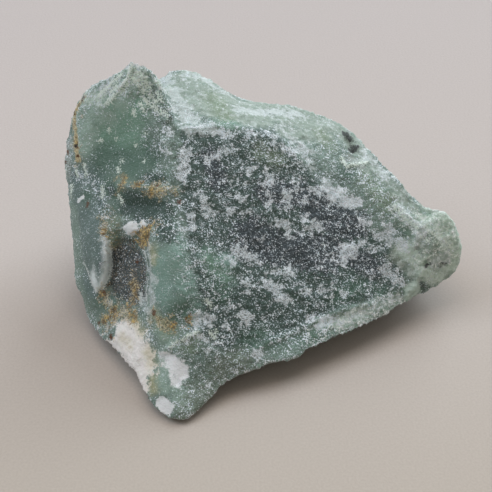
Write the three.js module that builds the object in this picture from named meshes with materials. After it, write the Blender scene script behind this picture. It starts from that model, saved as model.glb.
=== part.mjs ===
// A rough lump of green aventurine, as it was broken from the block.
//
// The lump is one solid body. Its tall crest is at the back left, its pointed toe at the front
// and its blunt nose at the right, and it rests on three small flats. It is laid out as named
// corners joined by flat faces. The faces are then divided finely, eased between the sharp
// ridges, roughened like broken quartz and trimmed flat where the lump rests.
//
// Units are millimetres, with +Z up and the origin under the middle of the lump's box.

import * as THREE from "three";
import { TessellateModifier } from "three/addons/modifiers/TessellateModifier.js";
import { ImprovedNoise } from "three/addons/math/ImprovedNoise.js";
import { mergeVertices } from "three/addons/utils/BufferGeometryUtils.js";

// The box of the finished lump.
const LENGTH = 88;
const DEPTH = 71.5;
const HEIGHT = 52;

// How finely the faces are divided, and how far the surface between the ridges is eased.
const LONGEST_EDGE = 3;
const DIVIDING_PASSES = 24;
const EASING_PASSES = 6;
const EASING_STEP = 0.5;

// A point this near a ridge lies on it.
const ON_RIDGE = 0.001;

// The roughness of the break: broad swells, and the grain of crushed quartz.
const SWELL_LENGTH = 9;
const SWELL_HEIGHT = 0.45;
const GRAIN_LENGTH = 3.2;
const GRAIN_HEIGHT = 0.4;
const GRAIN_OFFSET = 37;

// The underside is trimmed flat this far above the lowest corners, which makes the three flats.
const TRIM = 0.7;

const AVENTURINE_GREEN = 0x6d8c7d;
const UP = new THREE.Vector3(0, 0, 1);

// Corners of the lump, by region. Each is [x, y, z].
const corners = {
  // The crown: the highest part, at the back left, with a broken step down its right side.
  peak: [-28.5, 20, 52.7],
  peakRight: [-24.3, 20, 52],
  stepTop: [-22.5, 20, 49.5],
  stepMiddle: [-20.7, 16.5, 46.5],
  stepFoot: [-19, 14, 43],
  crest: [-28, 17, 50],
  crownLeft: [-32.5, 20, 48.2],
  shoulder: [-37.5, 21, 46],
  crownCorner: [-41.5, 22, 43],

  // The left flank: a narrow facet that turns back from the rim of the scoop.
  flank1: [-43.2, 21.5, 37.7],
  flank2: [-44.3, 19, 33.2],
  flank3: [-45.8, 16, 28.2],
  flank4: [-43.8, 9.5, 21],
  flank5: [-43, 3.5, 15],
  flank6: [-43, -1.5, 8],
  flank7: [-39.3, -6.5, 3.8],
  rim1: [-40.5, 19, 39],
  rim2: [-40.5, 14.5, 33],
  rim3: [-39.5, 10, 27.5],

  // The scoop: a shell-shaped hollow left by a flake, under the crest.
  diagonal: [-34, 17.5, 43.5],
  scoopTop: [-28.5, 15, 45],
  scoopLeft: [-36.5, 15.5, 35],
  scoopFloor: [-31, 14.5, 36],
  scoopLow: [-31, 9.5, 32.5],
  scoopRight: [-25, 10, 36.5],
  sparkFoot: [-21.5, 8, 40.5],
  edge1: [-19, 4, 36.5],
  edge2: [-18.5, 0.5, 34],

  // The rusty lip under the scoop, and the nook below it.
  lip1: [-36, 9, 29],
  lip2: [-30.5, 5, 30.3],
  lip3: [-24, 0.5, 33],
  lip4: [-19.5, -1.5, 32.5],
  nook1: [-31, 3.5, 26.5],
  nook2: [-25, 1, 28.5],
  nook3: [-21, -3, 31],

  // The raised flake at the left, and the flat recess between it and the front corner.
  flake1: [-39.5, 8, 25],
  flake2: [-35.5, 5, 26.5],
  flake3: [-33.3, -1.5, 24.3],
  flake4: [-33.3, -5, 19.7],
  flake5: [-34.8, -7.5, 14.7],
  flake6: [-36.5, -7, 11],
  flake7: [-39, -2, 13.5],
  flakeMiddle: [-37, -2, 20],
  recess1: [-31.5, -1.5, 20.5],
  recess2: [-26, -5, 23],
  recess3: [-25, -9.5, 19.5],
  recess4: [-25, -14, 14.5],
  recess5: [-28.5, -14, 11],
  recess6: [-33, -8.5, 11],
  recess7: [-31.8, -3.7, 18.3],
  recess8: [-32.8, -6.2, 13.8],

  // The smooth bulge down the front corner.
  bulgeTop: [-22, -7, 31],
  bulgeRight: [-16.5, -5.5, 29],
  bulgeLeft: [-27, -3, 26],
  bulge1: [-24, -9.5, 26],
  bulge2: [-23.5, -13, 22.5],
  bulge3: [-24, -17, 17],
  corner1: [-20.5, -10.5, 28.5],
  corner2: [-20, -15, 25],
  corner3: [-19, -19.5, 20],
  soft1: [-15.5, -10.5, 25.5],
  soft2: [-15, -16, 21],

  // The green hollow under the bulge, and the chalky lobe beside it.
  hollow1: [-24, -19, 13],
  hollow2: [-20, -21.5, 13],
  hollow3: [-15, -20.5, 15.5],
  hollow4: [-24, -22, 9.5],
  hollow5: [-20.5, -25, 11.5],
  hollow6: [-16, -23.5, 13],
  chalk1: [-32, -13.5, 8.5],
  chalk2: [-35.5, -12, 4.5],
  chalk3: [-31, -17, 7],
  chalk4: [-26.5, -21.5, 8.5],

  // The toe, at the front, and the sole that runs back from it along the left.
  low1: [-24, -26.5, 6],
  low2: [-19, -29, 8],
  low3: [-20, -32, 4.5],
  toeRight: [-14.7, -36, 2],
  toe: [-17.5, -37, 1.5],
  toeLeft: [-21.8, -35, 2],
  sole1: [-25.2, -31.5, 3],
  sole2: [-26, -26.5, 4],
  sole3: [-30, -20.5, 4.5],
  sole4: [-34, -16.5, 3.5],

  // The broad front face.
  face1: [-10.5, 6.5, 35],
  face2: [-0.5, 8, 33],
  face3: [-11, -4, 27],
  face4: [-0.5, -1.5, 25],
  face5: [10, 2.5, 24],
  face6: [-8, -13.5, 18.5],
  face7: [4.5, -9.5, 16.5],
  face8: [16.5, -4.5, 16],
  face9: [25, -3.5, 13.5],
  face10: [-12.5, -24, 11],
  face11: [0, -18, 11],

  // The brow: the long ridge between the front face and the top.
  brow0: [-18.5, 11, 41.5],
  brow1: [-12, 13.5, 40.5],
  brow2: [-3, 15.5, 39],
  brow3: [3, 15.5, 36.5],
  brow4: [9, 12, 31.5],
  brow5: [13.5, 9, 27.5],
  brow6: [19, 6, 23.5],
  brow7: [25, 4, 20],
  brow8: [29, 0.5, 15.5],
  brow9: [32.5, -2.5, 11],

  // The hem: the bevel along the foot of the front face, and its overhanging lower edge.
  bevel1: [-6, -25.5, 7.5],
  bevel2: [4.5, -19, 8.5],
  bevel3: [14, -13.5, 9.5],
  bevel4: [23.5, -10, 9],
  bevel5: [32.5, -4.5, 9],
  hem0: [34.5, -4.5, 7.2],
  hem1: [27.5, -9.2, 6.9],
  hem2: [19.5, -14.3, 6.9],
  hem3: [12.5, -18.2, 6.9],
  hem4: [8, -21.5, 6.7],
  hem5: [1, -24.7, 6],
  hem6: [-5, -26, 5.5],
  hem7: [-9, -27.5, 4.2],
  hem8: [-12.5, -31.5, 2.7],

  // The top, between the brow and the rear edge, lower than the crown.
  notch: [-24, 33, 39.5],
  gutter1: [-21, 25, 40],
  gutter2: [-19, 17.5, 40.5],
  humpLeft: [-22, 35.5, 41.3],
  hump: [-19.5, 36, 42.2],
  humpRight: [-15, 35.5, 41.5],
  rear1: [-9.5, 31.5, 38.6],
  rear2: [-3, 29.5, 35.7],
  rear3: [8.7, 31.5, 33.8],
  rear4: [19.5, 27.5, 31],
  rear5: [25, 20.3, 27.7],
  rear6: [31, 12.5, 25.8],
  rear7: [34.5, 7, 24],
  top1: [-10.5, 24, 40.3],
  top2: [-0.5, 22, 37.5],
  top3: [12, 19, 33],
  top4: [19.5, 14, 29],
  top5: [27, 8, 24.5],

  // The nose, at the right.
  noseRoot1: [34, 3, 20],
  noseRoot2: [34, -1.5, 14.5],
  noseRoot3: [34.5, -4, 9],
  noseTop: [39, 6, 24.3],
  nose1: [42.3, 5, 21.8],
  nose2: [43.8, 2.5, 14.7],
  nose3: [44, 0.5, 9.2],
  nose4: [40.5, 0, 7.2],
  nose5: [37.5, -1, 6.7],
  noseMiddle: [38.5, -0.5, 17.7],

  // The back.
  backCrown: [-31, 31, 42.5],
  backLeftHigh: [-40.5, 28, 34.5],
  backLeftMiddle: [-42, 19, 19.5],
  backLeftLow: [-38, 15, 4.5],
  back1: [-32, 33, 21.5],
  back2: [-15, 35.5, 21.5],
  back3: [4, 33.5, 18.5],
  back4: [20, 28, 15.5],
  back5: [32, 21, 14],
  back6: [41, 12, 14],
  backLow1: [-30, 27, 3.5],
  backLow2: [-13, 30, 3],
  backLow3: [6, 28, 3.5],
  backLow4: [21, 22, 3.5],
  backLow5: [35, 14, 4.5],

  // The underside, with its three rests at the toe, the left and the back right.
  toeRest1: [-20, -29, 0],
  toeRest2: [-14, -28, 0],
  toeRest3: [-13, -19, 0],
  toeRest4: [-22, -20, 0],
  leftRest1: [-35, 3, 0],
  leftRest2: [-26, 1, 0],
  leftRest3: [-23, 15, 0],
  leftRest4: [-32, 18, 0],
  backRest1: [7, 9, 0],
  backRest2: [26, 6, 0],
  backRest3: [25, 16, 0],
  backRest4: [7, 21, 0],
  under1: [-28, -10, 2.5],
  under2: [-12, -6, 2],
  under3: [2, -14, 4],
  under4: [16, -7, 4.5],
  under5: [28, 0, 5],
  under6: [-8, 12, 1.5],
  under7: [-8, 24, 2],
};

// Faces, by region. Each names its corners counter-clockwise, as seen from outside.
const faces = [
  // The crown and the wall of its step.
  "peak crest peakRight",
  "peak crownLeft crest",
  "crownLeft shoulder diagonal crest",
  "shoulder crownCorner rim1 diagonal",
  "crest diagonal scoopTop",
  "peakRight crest scoopTop stepMiddle stepTop",
  "scoopTop sparkFoot brow0 stepFoot stepMiddle",
  "stepTop stepMiddle gutter1 notch",
  "stepMiddle stepFoot gutter2 gutter1",
  "stepFoot brow0 gutter2",

  // The left flank.
  "crownCorner flank1 rim1",
  "flank1 flank2 rim2 rim1",
  "flank2 flank3 rim3 rim2",
  "flank3 flank4 flake1 rim3",

  // The scoop.
  "diagonal rim1 rim2 scoopLeft",
  "diagonal scoopLeft scoopFloor scoopTop",
  "rim2 rim3 lip1 scoopLeft",
  "scoopLeft lip1 scoopLow scoopFloor",
  "scoopLow lip1 lip2",
  "scoopLow lip2 lip3",
  "scoopTop scoopFloor scoopRight sparkFoot",
  "scoopFloor scoopLow scoopRight",
  "scoopLow lip3 edge1 scoopRight",
  "sparkFoot scoopRight edge1",
  "edge1 lip3 edge2",
  "lip3 lip4 edge2",

  // The nook under the lip.
  "rim3 flake1 flake2 lip1",
  "lip1 flake2 nook1 lip2",
  "lip2 nook1 nook2 lip3",
  "lip3 nook2 nook3 lip4",
  "flake2 flake3 recess1 bulgeLeft nook1",
  "nook1 bulgeLeft nook2",
  "nook2 bulgeLeft bulgeTop nook3",
  "nook3 bulgeTop bulgeRight lip4",

  // The raised flake.
  "flake1 flank4 flank5 flakeMiddle",
  "flake1 flakeMiddle flake2",
  "flake2 flakeMiddle flake3",
  "flakeMiddle flake4 flake3",
  "flakeMiddle flake5 flake4",
  "flakeMiddle flake7 flake6 flake5",
  "flank5 flake7 flakeMiddle",
  "flank5 flank6 flake7",
  "flank6 flank7 flake6 flake7",

  // The recess.
  "flake3 flake4 recess7 recess1",
  "flake4 flake5 recess8 recess7",
  "flake5 flake6 recess6 recess8",
  "recess1 recess7 recess3 recess2",
  "recess7 recess8 recess4 recess3",
  "recess8 recess6 recess5 recess4",
  "recess1 recess2 bulgeLeft",
  "recess2 bulge1 bulgeTop bulgeLeft",
  "recess2 recess3 bulge2 bulge1",
  "recess3 recess4 bulge3 bulge2",

  // The bulge.
  "bulgeTop bulge1 corner1 bulgeRight",
  "bulge1 bulge2 corner2 corner1",
  "bulge2 bulge3 corner3 corner2",
  "corner1 corner2 soft2 soft1",
  "corner2 corner3 soft2",
  "bulgeRight corner1 soft1",

  // The hollow and the chalky lobe.
  "recess4 recess5 hollow1 bulge3",
  "bulge3 hollow1 hollow2 corner3",
  "corner3 hollow2 hollow3",
  "corner3 hollow3 soft2",
  "hollow1 hollow4 hollow5 hollow2",
  "hollow2 hollow5 hollow6 hollow3",
  "flake6 flank7 chalk2 recess6",
  "recess6 chalk2 chalk1",
  "recess6 chalk1 recess5",
  "chalk1 chalk2 chalk3",
  "chalk2 sole4 chalk3",
  "chalk3 sole4 sole3",
  "chalk1 chalk3 chalk4",
  "recess5 chalk1 chalk4 hollow1",
  "hollow1 chalk4 hollow4",
  "chalk3 sole3 chalk4",
  "flank7 sole4 chalk2",

  // The toe.
  "chalk4 sole3 sole2 low1",
  "chalk4 low1 hollow4",
  "hollow4 low1 low2 hollow5",
  "low1 sole2 sole1",
  "low1 sole1 low3 low2",
  "low3 sole1 toeLeft toe",
  "low2 low3 toe toeRight",
  "hollow5 low2 face10 hollow6",
  "low2 toeRight hem8 face10",

  // The broad front face.
  "brow0 sparkFoot edge1 face1 brow1",
  "edge1 edge2 face3 face1",
  "edge2 lip4 bulgeRight face3",
  "bulgeRight soft1 face3",
  "soft1 soft2 face6 face3",
  "soft2 hollow3 face6",
  "hollow3 hollow6 face10 face6",
  "brow1 face1 face2 brow2",
  "brow2 face2 brow3",
  "brow3 face2 brow4",
  "face1 face3 face4 face2",
  "face2 face4 face5 brow4",
  "brow4 face5 brow5",
  "brow5 face5 brow6",
  "face3 face6 face7 face4",
  "face4 face7 face8 face5",
  "face5 face8 brow6",
  "brow6 face8 face9 brow7",
  "brow7 face9 brow8",
  "brow8 face9 brow9",
  "face6 face10 bevel1 face11 face7",
  "face11 bevel1 bevel2",
  "face11 bevel2 bevel3 face7",
  "face7 bevel3 face8",
  "face8 bevel3 bevel4 face9",
  "face9 bevel4 bevel5 brow9",

  // The hem.
  "face10 hem8 hem7 bevel1",
  "bevel1 hem7 hem6",
  "bevel1 hem6 hem5 bevel2",
  "bevel2 hem5 hem4",
  "bevel2 hem4 hem3 bevel3",
  "bevel3 hem3 hem2 bevel4",
  "bevel4 hem2 hem1",
  "bevel4 hem1 hem0 bevel5",

  // The nose.
  "brow9 bevel5 noseRoot3",
  "bevel5 hem0 nose5 noseRoot3",
  "brow8 brow9 noseRoot3 noseRoot2",
  "brow7 brow8 noseRoot2 noseRoot1",
  "noseRoot1 noseRoot2 noseMiddle noseTop",
  "noseTop noseMiddle nose1",
  "nose1 noseMiddle nose2",
  "noseRoot2 noseRoot3 nose3 nose2 noseMiddle",
  "noseRoot3 nose5 nose4 nose3",

  // The top.
  "humpLeft notch gutter1 hump",
  "hump gutter1 top1 humpRight",
  "gutter1 gutter2 brow1 top1",
  "gutter2 brow0 brow1",
  "humpRight top1 rear1",
  "top1 brow1 brow2 top2",
  "rear1 top1 top2 rear2",
  "rear2 top2 rear3",
  "top2 brow2 brow3",
  "top2 brow3 brow4 top3",
  "rear3 top2 top3 rear4",
  "top3 brow4 brow5 top4",
  "rear4 top3 top4 rear5",
  "top4 brow5 brow6",
  "top4 brow6 brow7 top5",
  "rear5 top4 top5 rear6",
  "rear6 top5 rear7",
  "top5 brow7 noseRoot1 rear7",
  "rear7 noseRoot1 noseTop",

  // The back.
  "peak peakRight stepTop notch backCrown",
  "crownLeft peak backCrown",
  "shoulder crownLeft backCrown",
  "crownCorner shoulder backCrown backLeftHigh",
  "flank1 crownCorner backLeftHigh",
  "flank2 flank1 backLeftHigh",
  "flank3 flank2 backLeftHigh backLeftMiddle",
  "flank4 flank3 backLeftMiddle",
  "flank5 flank4 backLeftMiddle",
  "flank6 flank5 backLeftMiddle backLeftLow",
  "notch humpLeft back1 backCrown",
  "humpLeft hump back2 back1",
  "hump humpRight back2",
  "humpRight rear1 back3 back2",
  "rear1 rear2 back3",
  "rear2 rear3 back3",
  "rear3 rear4 back4 back3",
  "rear4 rear5 back4",
  "rear5 rear6 back5 back4",
  "rear6 rear7 back6 back5",
  "rear7 noseTop back6",
  "noseTop nose1 back6",
  "nose1 nose2 back6",
  "nose2 nose3 backLow5 back6",
  "nose3 nose4 backLow5",
  "backCrown back1 backLeftHigh",
  "backLeftHigh back1 backLeftMiddle",
  "backLeftMiddle back1 backLow1 backLeftLow",
  "back1 back2 backLow2 backLow1",
  "back2 back3 backLow3 backLow2",
  "back3 back4 backLow4 backLow3",
  "back4 back5 backLow5 backLow4",
  "back5 back6 backLow5",

  // The underside.
  "toeRest4 toeRest3 toeRest2 toeRest1",
  "leftRest1 leftRest4 leftRest3 leftRest2",
  "backRest1 backRest4 backRest3 backRest2",
  "flank7 flank6 backLeftLow leftRest4 leftRest1",
  "backLeftLow backLow1 leftRest4",
  "backLow1 backLow2 under7 leftRest3 leftRest4",
  "backLow2 backLow3 backRest4 under7",
  "backLow3 backLow4 backRest3 backRest4",
  "backLow4 backLow5 backRest2 backRest3",
  "backLow5 nose4 nose5 under5 backRest2",
  "nose5 hem0 under5",
  "hem0 hem1 under5",
  "hem1 hem2 under4 under5",
  "hem2 hem3 under4",
  "hem3 hem4 under3 under4",
  "hem4 hem5 under3",
  "hem5 hem6 under3",
  "hem6 hem7 toeRest2 under3",
  "hem7 hem8 toeRest2",
  "hem8 toeRight toeRest2",
  "toeRight toe toeRest1 toeRest2",
  "toe toeLeft toeRest1",
  "toeLeft sole1 toeRest1",
  "sole1 sole2 toeRest4 toeRest1",
  "sole2 sole3 under1 toeRest4",
  "sole3 sole4 under1",
  "sole4 flank7 leftRest1 under1",
  "leftRest1 leftRest2 under2 under1",
  "under1 under2 toeRest3 toeRest4",
  "toeRest2 toeRest3 under2 under3",
  "leftRest2 leftRest3 under6 under2",
  "leftRest3 under7 under6",
  "under7 backRest4 backRest1 under6",
  "under2 under6 backRest1 under4 under3",
  "backRest1 backRest2 under5 under4",
];

// Sharp ridges and creases, each a line through named corners. Elsewhere the faces run together.
const ridges = [
  "crownCorner shoulder crownLeft peak peakRight stepTop stepMiddle stepFoot brow0",
  "brow0 brow1 brow2 brow3 brow4 brow5 brow6 brow7 brow8 brow9",
  "notch gutter1 gutter2 brow0",
  "peak crest diagonal",
  "crownCorner rim1 rim2 rim3",
  "sparkFoot edge1 edge2 lip4",
  "lip1 lip2 lip3 lip4",
  "flake1 flake2 flake3 flake4 flake5 flake6 flake7",
  "recess1 recess7 recess8",
  "recess1 recess2 recess3 recess4",
  "bulge1 bulge2 bulge3",
  "hollow1 hollow5 hollow6",
  "bevel1 bevel2 bevel3 bevel4",
  "flank7 sole4 sole3 sole2 sole1 toeLeft toe toeRight hem8",
  "hem8 hem7 hem6 hem5 hem4 hem3 hem2 hem1 hem0 nose5 nose4 nose3",
  "notch humpLeft hump humpRight rear1 rear2 rear3 rear4 rear5 rear6 rear7",
  "rear7 noseTop nose1 nose2 nose3",
  "brow9 noseRoot3 noseRoot2 noseRoot1",
  "notch backCrown backLeftHigh backLeftMiddle backLeftLow",
  "backCrown back1 back2 back3 back4 back5",
  "backLow1 backLow2 backLow3 backLow4 backLow5",
];

// A face's direction, by Newell's sum over its edges. It also holds where a face isn't quite flat.
function directionOf(loop) {
  const direction = new THREE.Vector3();
  loop.forEach((here, index) => {
    const next = loop[(index + 1) % loop.length];
    direction.add(new THREE.Vector3().crossVectors(here, next));
  });
  return direction.normalize();
}

// The triangles of one face. The face is laid flat and cut up there.
function trianglesOf(face) {
  const loop = face.split(" ").map((name) => new THREE.Vector3(...corners[name]));
  const toFlat = new THREE.Quaternion().setFromUnitVectors(directionOf(loop), UP);
  const outline = loop.map((corner) => {
    const flat = corner.clone().applyQuaternion(toFlat);
    return new THREE.Vector2(flat.x, flat.y);
  });
  const triangles = THREE.ShapeUtils.triangulateShape(outline, []);
  return triangles.map((triangle) => triangle.map((index) => loop[index]));
}

// The faces as they are laid out, divided until no edge is longer than LONGEST_EDGE.
function dividedFaces() {
  const points = faces.flatMap(trianglesOf).flat();
  const laidOut = new THREE.BufferGeometry().setFromPoints(points);
  return mergeVertices(new TessellateModifier(LONGEST_EDGE, DIVIDING_PASSES).modify(laidOut));
}

// The stretches of the ridges, each between two neighbouring corners.
function ridgeStretches() {
  return ridges.flatMap((ridge) => {
    const line = ridge.split(" ").map((name) => new THREE.Vector3(...corners[name]));
    return line.slice(1).map((corner, index) => new THREE.Line3(line[index], corner));
  });
}

// For each point of the divided faces, the stretches of ridge that it lies on.
function stretchesThrough(geometry) {
  const stretches = ridgeStretches();
  const nearest = new THREE.Vector3();
  return Array.from({ length: geometry.attributes.position.count }, (_, point) => {
    const here = new THREE.Vector3().fromBufferAttribute(geometry.attributes.position, point);
    return stretches.filter((stretch) => {
      stretch.closestPointToPoint(here, true, nearest);
      return nearest.distanceTo(here) < ON_RIDGE;
    });
  });
}

// The points that each point is eased towards: along a ridge only the ridge's own points count,
// and a point where a ridge ends or several meet stays where it is.
function partnersOf(geometry) {
  const through = stretchesThrough(geometry);
  const index = geometry.index.array;
  const all = through.map(() => new Set());
  const alongRidge = through.map(() => new Set());
  for (let start = 0; start < index.length; start += 3) {
    for (let side = 0; side < 3; side += 1) {
      const here = index[start + side];
      const next = index[start + ((side + 1) % 3)];
      all[here].add(next);
      if (through[here].some((stretch) => through[next].includes(stretch))) {
        alongRidge[here].add(next);
        alongRidge[next].add(here);
      }
    }
  }
  return through.map((stretches, point) => {
    if (stretches.length === 0) {
      return [...all[point]];
    }
    return alongRidge[point].size === 2 ? [...alongRidge[point]] : [];
  });
}

// Eases the surface between the ridges, so that broad facets run into each other softly.
function ease(geometry) {
  const position = geometry.attributes.position;
  const partners = partnersOf(geometry);
  for (let pass = 0; pass < EASING_PASSES; pass += 1) {
    const eased = partners.map((others, point) => {
      const here = new THREE.Vector3().fromBufferAttribute(position, point);
      if (others.length === 0) {
        return here;
      }
      const middle = new THREE.Vector3();
      others.forEach((other) => middle.add(new THREE.Vector3().fromBufferAttribute(position, other)));
      return here.lerp(middle.divideScalar(others.length), EASING_STEP);
    });
    eased.forEach((here, point) => position.setXYZ(point, here.x, here.y, here.z));
  }
}

// Moves each point out or in by the roughness of the break.
function roughen(geometry) {
  geometry.computeVertexNormals();
  const position = geometry.attributes.position;
  const normal = geometry.attributes.normal;
  const noise = new ImprovedNoise();
  for (let point = 0; point < position.count; point += 1) {
    const here = new THREE.Vector3().fromBufferAttribute(position, point);
    const outward = new THREE.Vector3().fromBufferAttribute(normal, point);
    const broad = here.clone().divideScalar(SWELL_LENGTH);
    const fine = here.clone().divideScalar(GRAIN_LENGTH).addScalar(GRAIN_OFFSET);
    const swell = SWELL_HEIGHT * noise.noise(broad.x, broad.y, broad.z);
    const grain = GRAIN_HEIGHT * noise.noise(fine.x, fine.y, fine.z);
    here.addScaledVector(outward, swell + grain);
    position.setXYZ(point, here.x, here.y, here.z);
  }
}

// Trims the rests flat, then gives the lump its box, with the origin under the middle.
function trimAndPlace(geometry) {
  const position = geometry.attributes.position;
  for (let point = 0; point < position.count; point += 1) {
    position.setZ(point, Math.max(position.getZ(point), TRIM));
  }
  geometry.computeBoundingBox();
  const size = geometry.boundingBox.getSize(new THREE.Vector3());
  const middle = geometry.boundingBox.getCenter(new THREE.Vector3());
  geometry.translate(-middle.x, -middle.y, -TRIM);
  geometry.scale(LENGTH / size.x, DEPTH / size.y, HEIGHT / size.z);
}

function stoneGeometry() {
  const geometry = dividedFaces();
  ease(geometry);
  roughen(geometry);
  trimAndPlace(geometry);
  geometry.computeVertexNormals();
  return geometry;
}

const aventurine = new THREE.MeshStandardMaterial({
  name: "aventurine",
  color: AVENTURINE_GREEN,
  roughness: 0.75,
  metalness: 0,
});

const stone = new THREE.Mesh(stoneGeometry(), aventurine);
stone.name = "stone";

const lump = new THREE.Group();
lump.name = "green_aventurine";
lump.add(stone);

export default lump;
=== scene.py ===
# %% [markdown]
# # A rough lump of green aventurine
#
# Aventurine is quartz with green mica in it. This lump was broken from a block, so each of its
# faces tells how it broke: smooth shell-shaped hollows where a flake came off cleanly, and
# dull, speckled faces where the quartz was crushed. Such a lump could be sculpted by hand, but
# steps in code can be read and changed. So we take the plain solid from the frame, give it the
# fine shape of broken quartz, store soft masks on its points, and let a node material turn the
# masks into colour.

# %% Load the solid that everything is built around
import math

import bpy
import numpy as np
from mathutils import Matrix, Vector, noise


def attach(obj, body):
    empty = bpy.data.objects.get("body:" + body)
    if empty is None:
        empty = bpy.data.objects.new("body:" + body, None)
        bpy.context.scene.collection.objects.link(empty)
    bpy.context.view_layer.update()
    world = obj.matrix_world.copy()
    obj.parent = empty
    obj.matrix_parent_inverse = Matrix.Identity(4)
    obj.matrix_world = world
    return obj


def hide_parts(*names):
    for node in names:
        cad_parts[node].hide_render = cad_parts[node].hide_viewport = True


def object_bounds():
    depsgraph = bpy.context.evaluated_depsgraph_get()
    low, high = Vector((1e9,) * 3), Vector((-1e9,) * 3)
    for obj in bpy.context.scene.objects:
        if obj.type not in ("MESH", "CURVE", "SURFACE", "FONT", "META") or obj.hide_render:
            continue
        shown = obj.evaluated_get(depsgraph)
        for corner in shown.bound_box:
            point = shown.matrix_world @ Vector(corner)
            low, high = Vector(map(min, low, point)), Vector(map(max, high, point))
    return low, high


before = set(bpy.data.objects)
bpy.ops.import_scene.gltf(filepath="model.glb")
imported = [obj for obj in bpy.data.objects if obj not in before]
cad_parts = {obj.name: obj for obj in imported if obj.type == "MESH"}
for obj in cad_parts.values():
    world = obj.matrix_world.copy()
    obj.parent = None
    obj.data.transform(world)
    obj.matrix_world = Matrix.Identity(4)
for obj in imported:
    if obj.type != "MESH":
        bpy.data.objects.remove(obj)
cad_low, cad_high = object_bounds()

MM = 0.001

print("solid:", sorted(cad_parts))
print("box in mm:", [round(v / MM, 1) for v in cad_high - cad_low])

# %% [markdown]
# ## The camera
#
# The camera comes first, because the marks on the stone are placed by where they are seen.
# It looks down at 40 degrees through a 90 mm lens. A short lens would have to come close, and
# the near side would look swollen. A long one keeps the stone's sides nearly parallel, as a
# small object on a table looks from arm's length.

# %% Place the camera
FRAME_PIXELS = 492
MIDDLE = FRAME_PIXELS / 2
LENS = 90
SENSOR_WIDTH = 36
NEAREST_SEEN = 10 * MM
AIM = Vector((-3.5, -3.4, 20.2)) * MM
CAMERA_DISTANCE = 262 * MM
CAMERA_TILT = math.radians(40)

camera_data = bpy.data.cameras.new("camera")
camera_data.lens = LENS
camera_data.sensor_width = SENSOR_WIDTH
camera_data.clip_start = NEAREST_SEEN
camera = bpy.data.objects.new("camera", camera_data)
bpy.context.scene.collection.objects.link(camera)
back_and_up = Vector((0, -math.cos(CAMERA_TILT), math.sin(CAMERA_TILT)))
camera.location = AIM + CAMERA_DISTANCE * back_and_up
camera.rotation_euler = (math.pi / 2 - CAMERA_TILT, 0, 0)
bpy.context.scene.camera = camera
bpy.context.view_layer.update()
print("camera at", [round(v / MM) for v in camera.location], "mm")

# %% [markdown]
# ## Helpers for materials
#
# A material is a tree of nodes with linked sockets. They could be added, set and linked one
# line at a time. A few short functions do it instead, so that a material reads like a recipe.

# %% Colours, nodes and links
def linear(red, green, blue):
    """A colour as Blender takes it, from the 0 to 255 values of a screen, by the sRGB rule."""
    parts = [v / 255 for v in (red, green, blue)]
    return (*[v / 12.92 if v <= 0.04045 else ((v + 0.055) / 1.055) ** 2.4 for v in parts], 1)


def feed(tree, socket, value):
    """Links a socket to another, or sets it to a plain value."""
    if isinstance(value, bpy.types.NodeSocket):
        tree.links.new(value, socket)
    else:
        socket.default_value = value


def node(tree, kind, inputs=(), **settings):
    """A new node with its settings and its inputs, by name or number."""
    made = tree.nodes.new("ShaderNode" + kind)
    for setting, value in settings.items():
        setattr(made, setting, value)
    for key, value in dict(inputs).items():
        feed(tree, made.inputs[key], value)
    return made


print("mid grey on a screen is", round(linear(128, 128, 128)[0], 3), "as light")

# %% Shares and mixes
def ramp(tree, value, low, high, kind="SMOOTHSTEP"):
    """0 where the value is at low, 1 where it is at high, and smooth between."""
    sockets = {"Value": value, "From Min": low, "From Max": high}
    return node(tree, "MapRange", sockets, interpolation_type=kind).outputs["Result"]


def mix(tree, share, below, above, blend="MIX"):
    """The second colour over the first, as much of it as the share says."""
    made = node(tree, "Mix", {"Factor": share}, data_type="RGBA", blend_type=blend)
    feed(tree, made.inputs[6], below)
    feed(tree, made.inputs[7], above)
    return made.outputs[2]


def shades(tree, value, *stops):
    """A colour ramp. Each stop is its place from 0 to 1, then its colour."""
    made = node(tree, "ValToRGB", {"Fac": value})
    elements = made.color_ramp.elements
    for position, _ in stops[1:-1]:
        elements.new(position)
    for element, (position, tone) in zip(elements, stops):
        element.position = position
        element.color = (*tone, 1)
    return made.outputs["Color"]


# %% [markdown]
# ## The paper under the stone
#
# The stone lies on plain pale paper. A flat white plane would look like a screen, so the paper
# gets what paper has: fibres half a millimetre wide, in a tone and in a faint bump. The sheet
# is a little warm at the front and a little blue at the back, as the room's light makes it. A
# ramp along the sheet does that, because lights that did it would also tint the stone.

# %% Lay the paper
PAPER_SIZE = 4
FIBRE = 0.5 * MM
TOOTH = 0.1 * MM
FRONT = -70 * MM
BACK = 130 * MM
DARK_FIBRE = (0.5, 0.455, 0.42)
LIGHT_FIBRE = (0.545, 0.5, 0.465)
WARM = (0.93, 0.91, 0.84)
PLAIN = (1, 0.99, 0.99)
COOL = (0.93, 0.93, 0.96)
PAPER_ROUGHNESS = 0.9
TOOTH_STRENGTH = 0.4

bpy.ops.object.select_all(action="DESELECT")
bpy.ops.mesh.primitive_plane_add(size=PAPER_SIZE)
paper = bpy.context.object
paper.name = "paper"
paper_finish = bpy.data.materials.new("paper")
paper_finish.use_nodes = True
paper.data.materials.append(paper_finish)
sheet = paper_finish.node_tree
on_sheet = node(sheet, "TexCoord").outputs["Object"]
fibres = node(sheet, "TexNoise", {"Vector": on_sheet, "Scale": 1 / FIBRE, "Detail": 2}).outputs["Fac"]
tone = shades(sheet, fibres, (0.3, DARK_FIBRE), (0.7, LIGHT_FIBRE))
depth = node(sheet, "SeparateXYZ", {"Vector": on_sheet}).outputs["Y"]
room = shades(sheet, ramp(sheet, depth, FRONT, BACK, "LINEAR"), (0, WARM), (0.45, PLAIN), (1, COOL))
tooth = node(sheet, "Bump", {"Height": fibres, "Strength": TOOTH_STRENGTH, "Distance": TOOTH})
paper_shader = sheet.nodes["Principled BSDF"]
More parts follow.
